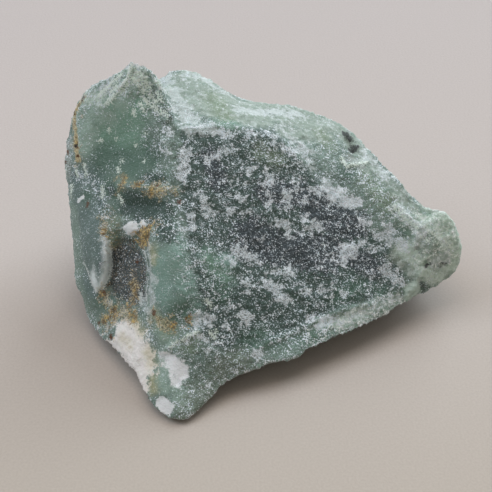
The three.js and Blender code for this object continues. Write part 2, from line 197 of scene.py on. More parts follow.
feed(sheet, paper_shader.inputs["Base Color"], mix(sheet, 1, tone, room, "MULTIPLY"))
feed(sheet, paper_shader.inputs["Roughness"], PAPER_ROUGHNESS)
feed(sheet, paper_shader.inputs["Normal"], tooth.outputs["Normal"])
print("paper:", PAPER_SIZE, "m square, with", len(sheet.nodes), "nodes")

# %% [markdown]
# ## The light
#
# The room is bright. Its strongest light is a wide window behind the stone and to the right,
# so the top is bright and the face towards us is in soft shade. A second window on the left
# and a ceiling light soften the shadows, and the walls send back a little warm light from
# everywhere. One even sky would be simpler, but it would hide the grain: crushed quartz shows
# by the small shadows that a light from one side makes.

# %% Hang the lights
ROOM_TONE = (1, 0.93, 0.86, 1)
ROOM_STRENGTH = 0.31


def soft_light(name, place, size, watts, tone):
    """A square light of this size in metres that points at the stone."""
    data = bpy.data.lights.new(name, "AREA")
    data.size = size
    data.energy = watts
    data.color = tone
    light = bpy.data.objects.new(name, data)
    bpy.context.scene.collection.objects.link(light)
    light.location = place
    light.rotation_euler = (AIM - Vector(place)).to_track_quat("-Z", "Y").to_euler()


soft_light("window", (0.47, 0.67, 0.59), 0.8, 8.2, (0.84, 0.93, 1))
soft_light("left window", (-0.56, 0.05, 0.59), 0.5, 2.3, (0.76, 0.86, 1))
soft_light("ceiling", (-0.07, 0.18, 0.8), 0.6, 2.0, (1, 0.9, 0.85))
world = bpy.data.worlds.new("room")
bpy.context.scene.world = world
world.use_nodes = True
walls = world.node_tree.nodes["Background"]
walls.inputs["Color"].default_value = ROOM_TONE
walls.inputs["Strength"].default_value = ROOM_STRENGTH
bpy.context.scene.view_settings.view_transform = "Standard"
print("lights:", ", ".join(light.name for light in bpy.data.lights))

# %% [markdown]
# ## The working copy of the solid
#
# The solid's own mesh is loose triangles and must stay as it is, so we copy it and merge the
# copy's doubled points. Its facets are flat and the real faces are gently rounded between sharp
# ridges. Plain smoothing would round the ridges too. So the ridges are creased first, and a
# Subdivision Surface rounds only what lies between them. A voxel remesh then gives points at
# even distances, fine enough to carry the relief and the masks.

# %% Copy and merge
MERGE_DISTANCE = 0.01 * MM


def only(piece):
    """Selects this piece and nothing else."""
    bpy.ops.object.select_all(action="DESELECT")
    piece.select_set(True)
    bpy.context.view_layer.objects.active = piece


def finish_modifiers(piece):
    """Applies the piece's modifiers, in order."""
    only(piece)
    for name in [m.name for m in piece.modifiers]:
        bpy.ops.object.modifier_apply(modifier=name)


stone = bpy.data.objects.new("aventurine_lump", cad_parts["stone"].data.copy())
bpy.context.scene.collection.objects.link(stone)
only(stone)
bpy.ops.object.mode_set(mode="EDIT")
bpy.ops.mesh.select_all(action="SELECT")
bpy.ops.mesh.remove_doubles(threshold=MERGE_DISTANCE)
bpy.ops.object.mode_set(mode="OBJECT")
print("merged:", len(stone.data.vertices), "points")

# %% Crease the ridges and round the rest
RIDGE_ANGLE = math.radians(28)
ROUNDINGS = 2

bpy.ops.object.mode_set(mode="EDIT")
bpy.ops.mesh.select_mode(type="EDGE")
bpy.ops.mesh.select_all(action="DESELECT")
bpy.ops.mesh.edges_select_sharp(sharpness=RIDGE_ANGLE)
bpy.ops.transform.edge_crease(value=1)
bpy.ops.object.mode_set(mode="OBJECT")
print("ridge edges:", sum(e.select for e in stone.data.edges))

rounding = stone.modifiers.new("rounding", "SUBSURF")
rounding.levels = ROUNDINGS
rounding.render_levels = ROUNDINGS
finish_modifiers(stone)
print("rounded:", len(stone.data.polygons), "faces")

# %% Remesh evenly
GRID = 0.44 * MM

remesh = stone.modifiers.new("even faces", "REMESH")
remesh.mode = "VOXEL"
remesh.voxel_size = GRID
remesh.adaptivity = 0
finish_modifiers(stone)
print("even:", len(stone.data.polygons), "faces")

# %% [markdown]
# ## Marks are placed where they are seen
#
# A mark could be given by its place in the room, but such numbers say little. Here it is given
# by its place in the camera's frame: so many pixels across and down. A ray from the camera
# through that place meets the stone where the mark belongs. A mark may also be a stroke
# through several places, or an outline. Each gives one number per point: how many millimetres
# the point is inside the mark's edge, and below 0 outside it. On the sides that don't show, a
# place is given by its compass bearing, with 0 at the back, and its height.

# %% Find a point of the stone from its place in the frame
PIXELS_PER_MM = 4.7
FOCAL_PIXELS = LENS / SENSOR_WIDTH * FRAME_PIXELS
TRIES = 12
INWARDS = 0.01
OUTSIDE = 200 * MM
AXIS_ACROSS = -3
turn = camera.matrix_world.to_3x3()


def seen(across, down):
    """The point of the stone, in mm, that shows at this place of the frame. A place just off
    the stone moves a little towards the middle and is tried again."""
    for _ in range(TRIES):
        ray = Vector(((across - MIDDLE) / FOCAL_PIXELS, (MIDDLE - down) / FOCAL_PIXELS, -1))
        hit, place, _, _ = stone.ray_cast(camera.location, turn @ ray)
        if hit:
            return np.array(place) / MM
        across += (MIDDLE - across) * INWARDS
        down += (MIDDLE - down) * INWARDS
    raise ValueError(f"nothing of the stone shows near {across}, {down}")


def behind(bearing, height):
    """The point of the stone, in mm, met from outside at this compass bearing and height. The
    bearing is taken round an upright line through the middle of the stone."""
    turned = math.radians(bearing)
    outwards = Vector((math.sin(turned), math.cos(turned), 0))
    axis = Vector((AXIS_ACROSS, 0, height)) * MM
    _, place, _, _ = stone.ray_cast(axis + OUTSIDE * outwards, -outwards)
    return np.array(place) / MM


print("centre of the frame is on the stone at", seen(MIDDLE, MIDDLE).round(1), "mm")

# %% The points as rows of numbers
def points_of(piece):
    """The piece's points in mm, one per row."""
    values = np.empty(len(piece.data.vertices) * 3)
    piece.data.vertices.foreach_get("co", values)
    return values.reshape(-1, 3) / MM


def normals_of(piece):
    """The way the surface faces at each point, one per row."""
    values = np.empty(len(piece.data.vertices) * 3)
    piece.data.vertex_normals.foreach_get("vector", values)
    return values.reshape(-1, 3)


def facing():
    """Above 0 for each point whose surface is turned towards the camera."""
    sight = np.array(camera.location) / MM - points
    return (normals * sight).sum(axis=1)


def frame_places(spots):
    """Where points, in mm, show in the camera's frame."""
    local = (spots * MM - np.array(camera.location)) @ np.array(turn)
    scale = FOCAL_PIXELS / -local[:, 2]
    return np.stack([MIDDLE + local[:, 0] * scale, MIDDLE - local[:, 1] * scale], 1)


points, normals = points_of(stone), normals_of(stone)
print("points:", len(points), "of which", int((facing() > 0).sum()), "face the camera")

# %% Strokes and blots
TINY = 1e-9


def away_from(start, end):
    """Each point's distance, in mm, from the stretch between two places."""
    along = end - start
    length = max(along @ along, TINY)
    share = np.clip((points - start) @ along / length, 0, 1)
    return np.linalg.norm(points - start - share[:, None] * along, axis=1)


def stroke(reach, *stops):
    """How far each point is inside a stroke, whose edge is this reach in mm from its line."""
    pairs = list(zip(stops, stops[1:])) or [(stops[0], stops[0])]
    return reach - np.min([away_from(a, b) for a, b in pairs], axis=0)


def marks(*rows):
    """Several strokes in one. Each row is the reach in pixels, then the places it goes through."""
    inside = [stroke(row[0] / PIXELS_PER_MM, *[seen(*place) for place in row[1:]]) for row in rows]
    return np.max(inside, axis=0)


# %% Outlines
FAR = 1e9
SPARE = 3


def outlined(*corners):
    """How far each point is inside an outline drawn in the frame. Only the side of the stone
    that faces the camera, near the outline, is counted."""
    ring = np.array(corners, float)
    spots = frame_places(points)
    nearest = np.full(len(spots), FAR)
    within = np.zeros(len(spots), bool)
    for start, end in zip(ring, np.roll(ring, -1, axis=0)):
        along = end - start
        share = np.clip((spots - start) @ along / (along @ along), 0, 1)
        nearest = np.minimum(nearest, np.linalg.norm(spots - start - share[:, None] * along, axis=1))
        crosses = (spots[:, 1] < start[1]) != (spots[:, 1] < end[1])
        at = start[0] + (spots[:, 1] - start[1]) / (end[1] - start[1] + TINY) * along[0]
        within ^= crosses & (spots[:, 0] < at)
    middle = np.mean([seen(*corner) for corner in corners], axis=0)
    reach = max(np.linalg.norm(seen(*corner) - middle) for corner in corners) + SPARE
    near = np.linalg.norm(points - middle, axis=1) < reach
    inside = within & (facing() > 0) & near
    return np.where(inside, 1, -1) * nearest / PIXELS_PER_MM


# %% Soft steps and soft noise
SEED_SHIFTS = (17.3, 5.1, 9.7)


def smoothstep(low, high, value):
    """0 below low, 1 above high, and a soft step between."""
    share = np.clip((value - low) / (high - low), 0, 1)
    return share * share * (3 - 2 * share)


def cloud(size, seed=0):
    """Smooth noise from -1 to 1 at each point, with lumps of this size in mm."""
    shift = Vector([seed * step for step in SEED_SHIFTS])
    return np.array([noise.noise(Vector(p) / size + shift) for p in points])


ripple = cloud(1.6)
drift = cloud(13, 3)
print("drift from", drift.min().round(2), "to", drift.max().round(2))

# %% [markdown]
# ## The carved relief
#
# Where flakes came off, the stone has low steps with crisp edges, which the rounding took away.
# They could be drawn with a sculpting brush, but a brush can't be read or repeated. Each step
# is a vertex group made from its outline or stroke, and a Displace modifier lifts or sinks that
# group. A little noise makes each edge ragged, as broken quartz is.

# %% Lift and sink
WEIGHT_STEPS = 20
PLATE_WOBBLE = 0.3
LINE_WOBBLE = 0.15


def weigh(name, weights):
    """A vertex group with these weights, in twenty steps."""
    group = stone.vertex_groups.new(name=name)
    steps = np.round(np.clip(weights, 0, 1) * WEIGHT_STEPS).astype(int)
    for step in range(1, WEIGHT_STEPS + 1):
        chosen = np.flatnonzero(steps == step)
        if len(chosen):
            group.add(chosen.tolist(), step / WEIGHT_STEPS, "REPLACE")


def lift(name, height, weights, direction="NORMAL"):
    """Moves the weighted points out by this height in mm, or in if it is below 0."""
    weigh(name, weights)
    move = stone.modifiers.new(name, "DISPLACE")
    move.direction = direction
    move.vertex_group = name
    move.mid_level = 0
    move.strength = height * MM


# %% Plates and lines
def plate(edge, *corners):
    """Weights for an outline that reaches its full height within this edge in mm."""
    return smoothstep(0, edge, outlined(*corners) + PLATE_WOBBLE * ripple)


def line(reach, *places):
    """Weights for a stroke, full on its middle line and none at its reach in pixels."""
    return smoothstep(0, reach / PIXELS_PER_MM, marks((reach, *places)) + LINE_WOBBLE * ripple)


def lift_lines(rows):
    """Lifts named lines. A row is the height in mm, the reach in pixels, then the places."""
    for name, (height, reach, *places) in rows.items():
        lift(name, height, line(reach, *places))


# %% The outlines of what broke off or stayed
flake_outline = (
    (84, 184), (96, 190), (101, 212), (104, 230), (108, 241), (109, 250), (111, 262), (109, 270),
    (107, 279), (103, 286), (96, 291), (92, 283), (87, 271), (84, 262), (80, 240), (78, 214),
)
recess_outline = (
    (118, 237), (126, 240), (134, 240), (139, 243), (142, 250), (146, 263), (147, 300), (140, 308),
    (128, 304), (118, 300), (106, 292), (105, 287), (110, 279), (113, 268), (113, 252), (114, 242),
)
gravel_outline = (
    (102, 208), (112, 206), (120, 216), (124, 230), (126, 240), (142, 250), (146, 263), (146, 298),
    (136, 306), (118, 302), (103, 292), (102, 284), (104, 268), (104, 250), (103, 232),
)
scar_outline = (
    (157, 354), (163, 351), (171, 352), (180, 358), (188, 368), (190, 376), (183, 381), (178, 388),
    (172, 386), (170, 378), (167, 370), (162, 362),
)
low_scar_outline = ((155, 403), (158, 397), (164, 395), (174, 404), (173, 413), (169, 416), (161, 411))
chip_outline = ((123, 228), (128, 222), (135, 220), (139, 224), (139, 231), (134, 236), (128, 235))
crumb_outline = (
    (136, 232), (141, 227), (150, 224), (153, 228), (150, 234), (146, 239), (144, 246), (138, 244),
)
small_chip_outline = ((139, 223), (144, 220), (150, 224), (146, 227), (140, 229))
lobe_outline = (
    (404, 297), (404, 289), (409, 283), (415, 280), (420, 284), (421, 292), (416, 299), (408, 302),
)
nook_outline = ((116, 199), (140, 196), (165, 198), (174, 205), (160, 215), (140, 219), (122, 215))
print("flake:", len(flake_outline), "corners, recess:", len(recess_outline), "corners")

# %% The flake, the recess and the scars: height and edge in mm, then the outline
PLATES = {
    "flake": (0.45, 0.45, flake_outline),
    "recess": (-0.55, 0.5, recess_outline),
    "nook": (-0.5, 2.2, nook_outline),
    "toe scar": (-0.45, 0.6, scar_outline),
    "low scar": (-0.35, 0.5, low_scar_outline),
    "chip": (1.0, 0.6, chip_outline),
    "small chip": (0.6, 0.5, small_chip_outline),
}
for name, (height, edge, corners) in PLATES.items():
    lift(name, height, plate(edge, *corners))
print("plates:", ", ".join(PLATES))

# %% The ridges, ledges and pits
lift_lines({
    "orange crumb": (0.5, 7, (149, 229), (142, 238)),
    "rusty lip": (0.3, 8, (118, 186), (140, 187), (158, 188), (174, 192)),
    "crest ridge": (0.4, 5, (131, 68), (125, 82), (112, 98)),
    "crown edge": (0.5, 6, (156, 82), (162, 94), (168, 105), (172, 113), (166, 120)),
    "rim crack": (-0.5, 3, (76, 100), (74, 114), (75, 128), (77, 156)),
    "inclusion pit": (-0.8, 8, (354, 149), (350, 140)),
    "bright crease": (0.4, 5, (342, 158), (347, 166), (366, 162)),
    "lobe edge": (0.3, 6, (158, 356), (177, 342), (197, 331)),
    "hem line": (0.4, 6, (246, 352), (290, 333), (338, 311), (372, 304)),
    "nose ledge": (0.5, 7, (398, 205), (420, 228), (414, 244)),
})
lift("pale lobe", 0.6, plate(0.8, *lobe_outline))
lift_lines({"lobe crack": (-1.0, 4, (422, 280), (424, 288), (423, 296))})
nose_pits = ((427, 264), (442, 265))
lift("nose pits", -0.6, np.maximum(*[line(5, pit) for pit in nose_pits]))
finish_modifiers(stone)
points, normals = points_of(stone), normals_of(stone)
print("carved:", len(stone.vertex_groups), "groups")

# %% [markdown]
# ## The last of the outline
#
# The hem, the toe, the left side and the tip of the nose swell a little past the plain solid,
# and the top slope dips before the nose. The dip is cut along the surface's own direction
# first. The notch in it goes straight down, because along the surface it would also push the
# back of the slope sideways, and leave a knob there.

# %% Fill out the outline
lift_lines({
    "hem": (0.55, 26, (250, 364), (268, 360), (290, 354)),
    "toe": (0.4, 24, (184, 412), (205, 398)),
    "nose tip": (0.45, 22, (455, 250), (452, 266)),
    "left side": (0.3, 24, (78, 285), (86, 303)),
    "nose saddle": (-1.0, 22, (412, 198), (424, 206)),
})
nose_notch = ((418, 198), (426, 204))
lift("nose notch", -1.1, line(22, *nose_notch), "Z")
finish_modifiers(stone)
points, normals = points_of(stone), normals_of(stone)
print("highest point:", points[:, 2].max().round(1), "mm")

# %% [markdown]
# ## The grain of the break
#
# Crushed quartz is a crust of small broken grains, and cleanly broken quartz is almost smooth.
# A bump in the material could hint at the grains, but the stone's edge against the paper
# would stay smooth. So they are real shape: Displace modifiers with cloud textures, two of them
# cut into cells, and one vertex group that leaves them faint where the break is smooth.

# %% Where the quartz broke cleanly
CRUST_EDGE = 1.6
CRUST_WOBBLE = 0.5

smooth = marks(
    (27, (120, 122), (114, 146), (124, 164)),
    (16, (98, 124), (92, 158)),
    (18, (80, 200), (88, 240), (94, 272)),
    (8, (74, 214), (78, 262), (88, 306)),
    (15, (162, 250), (163, 275), (168, 298)),
    (8, (84, 262), (88, 290), (100, 318)),
    (13, (120, 198), (140, 205), (158, 206)),
    (9, (132, 168), (146, 166)),
    (12, (172, 370), (162, 384)),
    (7, (165, 404)),
    (9, (162, 334), (172, 330)),
)
crushed = 1 - smoothstep(-CRUST_EDGE, CRUST_EDGE, smooth + CRUST_WOBBLE * ripple)
print("smooth:", int((crushed < 0.5).sum()), "points")

# %% Roughen the rest
FAINT = 0.12


def roughen(name, size, height, **settings):
    """A Displace modifier for the crust, whose grains have this size and height in mm."""
    texture = bpy.data.textures.new(name, "CLOUDS")
    texture.noise_scale = size * MM
    for setting, value in settings.items():
        setattr(texture, setting, value)
    move = stone.modifiers.new(name, "DISPLACE")
    move.texture = texture
    move.texture_coords = "LOCAL"
    move.vertex_group = "crust"
    move.mid_level = 0.5
    move.strength = height * MM


weigh("crust", FAINT + (1 - FAINT) * crushed)
roughen("chips", 5, 0.6, noise_basis="VORONOI_F1", noise_depth=1)
roughen("grains", 1.7, 0.6, noise_basis="VORONOI_F2_F1", noise_depth=2)
roughen("crumbs", 0.9, 0.4, noise_depth=1, noise_type="HARD_NOISE")
finish_modifiers(stone)
stone.vertex_groups.clear()
print("grain added to", int((crushed > 0.5).sum()), "points")

# %% Flatten what would sink into the table, and keep within the solid's box
points = np.clip(points_of(stone), np.array(cad_low) / MM, np.array(cad_high) / MM)
stone.data.vertices.foreach_set("co", (points * MM).ravel())
stone.data.update()
normals = normals_of(stone)
print("lowest point:", points[:, 2].min().round(3), "mm")

# %% [markdown]
# ## The masks
#
# A real lump changes colour from face to face, and the change is seldom sharp. Painting it on an
# image would need the surface laid out flat. Masks on the points don't. Each is one number per
# point, in mm inside the mark's edge, so that the material can move the edge in or out by adding
# fine noise. Only the ridges come from the shape itself, since they get bruised white on any
# lump of quartz.

# %% Ridges stand out from a smoothed copy of the points
SMOOTHING_PASSES = 24


def ridges(passes):
    """How far each point stands out, in mm, from the average of the points around it."""
    ends = np.empty(len(stone.data.edges) * 2, int)
    stone.data.edges.foreach_get("vertices", ends)
    one, other = ends.reshape(-1, 2).T
    count = len(points)
    links = np.bincount(ends, minlength=count)[:, None]
    soft = points.copy()
    for _ in range(passes):
        total = np.empty_like(soft)
        for axis in range(3):
            from_other = np.bincount(one, soft[other, axis], count)
            from_one = np.bincount(other, soft[one, axis], count)
            total[:, axis] = from_other + from_one
        soft = (soft + total / links) / 2
    return ((points - soft) * normals).sum(axis=1)


worn = ridges(SMOOTHING_PASSES)
print("ridges stand out by up to", worn.max().round(2), "mm")

# %% [markdown]
# ## The body colours on the side that shows
#
# The broad front face is a dark slate and moss green, the shell-shaped hollow at the left is
# a clear green, and what faces up is mint and frosted. Nearly every mask below is a list of
# strokes: the reach in pixels first, then the places that the stroke goes through. Soft strokes
# follow such patches better than outlines, which show their corners. The moss is large enough
# for an outline.

# %% The dark front face and the gravel beside the flake
moss = outlined(
    (179, 131), (215, 128), (237, 129), (262, 126), (276, 130), (286, 143), (300, 158), (312, 174),
    (330, 190), (350, 210), (372, 230), (392, 250), (404, 268), (408, 284), (375, 299), (330, 312),
    (290, 332), (245, 352), (222, 350), (205, 338), (194, 305), (190, 262), (186, 226), (181, 190),
    (180, 160),
)
slate = np.maximum(
    marks(
        (22, (318, 206), (348, 222)),
        (20, (250, 242), (292, 250), (330, 252)),
        (13, (352, 256), (372, 268)),
        (15, (268, 190), (300, 196)),
        (11, (210, 158), (218, 182)),
        (12, (246, 230), (254, 226)),
    ),
    np.minimum(outlined(*gravel_outline), marks((26, (128, 266), (130, 290)))),
)
print("dark face:", int((moss > 0).sum()), "points, slate:", int((slate > 0).sum()))

# %% The clear, pale, glazed and teal parts of the left side
clear = marks(
    (26, (122, 118), (118, 140), (130, 150)),
    (20, (128, 104)),
    (11, (228, 120)),
    (8, (208, 258), (226, 278)),
)
pale = marks(
    (12, (100, 96), (118, 88)),
    (10, (128, 92), (120, 102)),
    (14, (84, 112), (84, 142)),
    (13, (131, 66), (136, 82)),
    (9, (104, 116), (110, 118)),
    (8, (146, 84)),
    (6, (166, 390)),
    (9, (163, 362), (160, 380)),
    (11, (84, 102), (96, 112)),
    (7, (174, 388), (182, 402)),
    (7, (150, 306), (170, 340)),
)
glaze = marks(
    (14, (159, 262), (161, 292)),
    (11, (176, 244), (180, 270)),
    (13, (185, 280), (187, 306)),
    (14, (168, 304), (188, 311)),
    (8, (228, 261)),
)
teal = marks(
    (20, (90, 208), (92, 245), (92, 280)),
    (16, (95, 178), (88, 192)),
    (12, (176, 292), (172, 308)),
    (10, (180, 282), (184, 300)),
    (10, (76, 176), (78, 196)),
)
print("clear hollow:", int((clear > 0).sum()), "points")

# %% The nook's painted shade, the toe, the olive patches, and dark green that is partly painted shade
# Painted shade: a dark green laid into the hollow under the rusty lip, where shade falls.
nook = marks(
    (13, (130, 203), (148, 206), (162, 211)),
    (10, (140, 216), (162, 218), (167, 234)),
    (5, (112, 190)),
    (5, (146, 178), (160, 180)),
)
toe_tip = marks((16, (206, 396), (190, 410)), (14, (222, 372), (240, 362)))
olive = marks(
    (9, (160, 322), (170, 330)),
    (7, (192, 342), (188, 348)),
    (6, (151, 360), (150, 370), (153, 386)),
    (6, (153, 252), (153, 262)),
    (8, (112, 222), (110, 240)),
    (10, (262, 152), (278, 160)),
    (11, (366, 180), (388, 202)),
    (12, (214, 98), (224, 114)),
    (8, (320, 132), (330, 146)),
)
# Partly the stone's own dark green, partly painted shade: darker green in the low part of the hollow,
# under the lip and along the underside of the hem.
deep_green_and_shade = marks(
    (17, (106, 160), (128, 164), (146, 162)),
    (8, (146, 177), (158, 179)),
    (9, (124, 172), (150, 176)),
    (6, (106, 212)),
    (8, (380, 292)),
    (11, (108, 182), (120, 204), (154, 206)),
    (9, (166, 206), (168, 232)),
    (6, (256, 346), (290, 342), (326, 331)),
    (9, (176, 316), (186, 308)),
    (8, (104, 302), (116, 306)),
    (7, (214, 286), (222, 296)),
    (8, (246, 343), (262, 333)),
    (8, (404, 232)),
    (9, (360, 285), (340, 298)),
    (9, (348, 172)),
    (9, (88, 196)),
)
print("deep green:", int((deep_green_and_shade > 0).sum()), "points")

# %% The mint top and nose, with paler rims, painted light on the nose and peak, and darker pits
mint = marks(
    (22, (184, 88), (215, 106), (255, 116)),
    (12, (180, 77), (197, 75), (214, 87), (232, 101), (250, 105), (268, 107), (290, 111), (312, 117)),
    (11, (312, 117), (334, 127), (350, 141), (364, 157)),
    (7, (364, 157), (378, 173), (392, 187), (404, 195)),
    (13, (408, 200), (424, 208), (440, 216), (450, 230), (456, 248), (453, 264), (444, 276)),
    (14, (285, 118), (322, 126)),
    (9, (284, 132), (328, 136)),
    (18, (416, 222), (440, 240), (436, 262)),
    (11, (400, 254), (424, 272)),
    (7, (340, 322), (376, 308), (396, 300)),
    (9, (338, 132), (366, 160)),
    (6, (394, 196), (404, 208)),
    (14, (424, 222), (444, 238)),
    (8, (412, 288)),
)
# Paler rims on the top, and painted light: the nose and the peak made brighter where light shines through
# the stone.
pale_rim_and_painted_light = marks(
    (14, (430, 216), (448, 230), (454, 248), (450, 262)),
    (11, (404, 246), (422, 262)),
    (9, (424, 274), (438, 277)),
    (6, (160, 82), (168, 88)),
    (6, (322, 327), (368, 311)),
    (7, (131, 66), (140, 78)),
    (7, (86, 100), (100, 98)),
)
# Darker in the nose's pits and in the lobe's crack.
dark_in_pits = marks(
    (3.5, (427, 262)), (4, (442, 265)), (2.5, (418, 250), (423, 256)), (2, (434, 270)),
    (2.2, (423, 283), (424, 292)),
)
print("mint:", int((mint > 0).sum()), "points")

# %% Frost with painted light at the peak and nose, sugary grain, bare patches without dust, and grey film
# Frost on the top. The strokes at the peak and on the nose are also painted light, brighter where light
# shines through the stone.
frost = marks(
    (9, (180, 106), (184, 114), (192, 122)),
    (5, (186, 126), (214, 128)),
    (7, (238, 110), (268, 112), (296, 114)),
    (3, (178, 76), (192, 74), (222, 90)),
    (6, (130, 64), (138, 70)),
    (7, (162, 80), (172, 90)),
    (5, (184, 118), (190, 130)),
    (6, (350, 318), (372, 308)),
    (4, (384, 304), (398, 298)),
    (7, (404, 212), (416, 224)),
    (6, (436, 262), (448, 256)),
    (6, (166, 78), (172, 92), (180, 104)),
    (5, (149, 250), (151, 300)),
    (3, (106, 296), (110, 300)),
    (4, (124, 312)),
    (4, (144, 302), (150, 312)),
    (5, (100, 90), (120, 76)),
    (5, (364, 152), (386, 176)),
    (5, (300, 150), (312, 164)),
    (4, (280, 128), (290, 134), (298, 146)),
    (8, (328, 188), (352, 204)),
    (7, (400, 208), (412, 222), (420, 234)),
    (5, (300, 142), (312, 152)),
)
sugar = marks(
    (17, (422, 222), (446, 236)),
    (12, (426, 258), (450, 258)),
    (9, (132, 72), (142, 84), (152, 96), (164, 110)),
    (7, (124, 84), (110, 98)),
    (10, (312, 336), (344, 322), (376, 309), (404, 296)),
    (9, (398, 214), (412, 232)),
)
bare = marks(
    (8, (226, 118)), (6, (366, 166)), (6, (348, 164)),
    (10, (248, 229)), (10, (248, 340)), (8, (332, 292)), (8, (268, 307)),
    (8, (126, 170), (148, 164)), (6, (170, 148)),
    (8, (180, 134)), (8, (288, 248)), (7, (210, 204)), (7, (314, 214)),
)
grey = marks(
    (7, (398, 254), (412, 262)),
    (8, (66, 146), (67, 170)),
    (8, (352, 160), (362, 164)),
    (5, (110, 328)),
)
print("frost:", int((frost > 0).sum()), "points")

# %% [markdown]
# ## The body colours on the sides that do not show
#
# From the back the lump has to look like the same stone. Noise with lumps of 13 mm spreads
# moss and slate over the hidden sides, mint settles on what faces up, and a few smooth hollows
# are clear green or teal. Each is added to its own mask, so the material needn't know of it.

# %% Add the hidden sides
MASK_LIMIT = 3
DRIFT_STEEPNESS = 9
MOSS_FROM = 0.12
SLATE_FROM = 0.3
UPWARD_STEEPNESS = 6
MINT_FROM = 0.5

hidden = facing() < 0
upward = normals[:, 2]
left_hollow = stroke(14, behind(250, 24))
back_hollow = stroke(12, behind(20, 26))
right_hollow = stroke(9, behind(95, 14))


def also(field, where):
    """The mask, with this one added on the hidden sides."""
    return np.maximum(field, np.where(hidden, where, -MASK_LIMIT))


moss = also(moss, DRIFT_STEEPNESS * (drift - MOSS_FROM))
slate = also(slate, DRIFT_STEEPNESS * (-drift - SLATE_FROM))
mint = also(mint, UPWARD_STEEPNESS * (upward - MINT_FROM))
teal = also(teal, left_hollow)
clear = also(clear, np.maximum(back_hollow, right_hollow))
print("hidden:", int(hidden.sum()), "of", len(points), "points")

# %% [markdown]
# ## Bruises, splinters and rims
#
# Where the quartz was struck, it is crushed to a nearly white powder: large bruises on the dark
# face, thin smears along the ridges, and hair-thin splinters at the crest. Noise alone can't
# place them, since they lie where the blows fell. So each has its own stroke, and noise only
# roughens its edge. Noise is enough on the sides that don't show.

# %% Bruises: crushed, nearly white quartz
BLOW_STEEPNESS = 5
BLOW_FROM = 0.42

bruise = marks(
    (2.5, (165, 129), (171, 136)), (5, (244, 131), (252, 134)), (5, (264, 132), (272, 136)),
    (4, (226, 146), (232, 150)),
    (2, (227, 178), (236, 183)), (2, (248, 184)), (4, (190, 214)), (4, (190, 228)), (3, (248, 292)),
    (5, (318, 326), (336, 320)), (6, (386, 274), (396, 280)), (6, (185, 152), (186, 158)),
    (6, (183, 168), (182, 176)), (3, (166, 150)),
    (4, (222, 134), (236, 137)), (4, (255, 136)), (4, (208, 160), (219, 155)),
    (3, (247, 171), (256, 167)), (3, (236, 181)), (4, (272, 145), (284, 148), (296, 154)),
    (5, (294, 181)), (3, (288, 205)), (4, (203, 198), (209, 212)), (3, (230, 210)),
    (5, (312, 190), (326, 192)), (7, (337, 193), (356, 203)), (5, (306, 221), (320, 228)), (4, (183, 227)),
    (4, (280, 222), (290, 232)), (5, (238, 250), (248, 254), (256, 260)), (5, (231, 261)),
    (2, (262, 241)), (2, (282, 253)), (3, (268, 272), (294, 271)), (6, (268, 286), (284, 297)),
    (5, (248, 284)),
    (4, (306, 291)), (7, (246, 317)), (6, (197, 320)), (2, (228, 307)), (3, (209, 348)),
    (5, (258, 354)), (5, (311, 318)), (11, (350, 252)), (2.5, (326, 255), (338, 262)),
    (4, (358, 242), (372, 247)), (5, (388, 268), (401, 281)), (2.5, (370, 277)),
    (4, (322, 289), (330, 291)), (3, (343, 294)), (3, (390, 294)),
    (6, (392, 240), (402, 246)), (3, (372, 230), (380, 240)),
    (3, (270, 196)), (8, (288, 197)), (3.5, (270, 204)), (3.5, (228, 210)), (2.5, (306, 201)),
    (4, (246, 210)), (4, (306, 232)),
    (7, (268, 179)), (4, (297, 187)),
    (4, (386, 226), (392, 232)), (4, (366, 224)), (5, (344, 262)), (4, (206, 322), (214, 318)),
    (4, (224, 326)), (4, (206, 342)), (3, (228, 372)), (3, (210, 388)), (3, (240, 200)),
)
blows = cloud(3.2, 5)
bruise = also(bruise, BLOW_STEEPNESS * (blows - BLOW_FROM))
print("bruised:", int((bruise > 0).sum()), "points")

# %% Smears: a thinner white
smears = marks(
    (4, (122, 96), (132, 104)), (4, (95, 96), (112, 84)), (3, (104, 106), (96, 112)),
    (6, (194, 244), (200, 262)), (5, (75, 172), (88, 186)),
    (6, (104, 200), (108, 232)), (3, (280, 342), (306, 328)), (4, (304, 333), (326, 323), (348, 316)),
    (6, (345, 315), (372, 307), (394, 299)),
    (6, (404, 210), (424, 236)), (5, (352, 172), (366, 180)), (5, (180, 200), (190, 215)),
    (6, (180, 330), (196, 326)), (6, (184, 340), (230, 340)), (8, (422, 226), (440, 238)),
    (6, (384, 190), (398, 206)),
    (5, (376, 172), (392, 188)),
)
print("smeared:", int((smears > 0).sum()), "points")

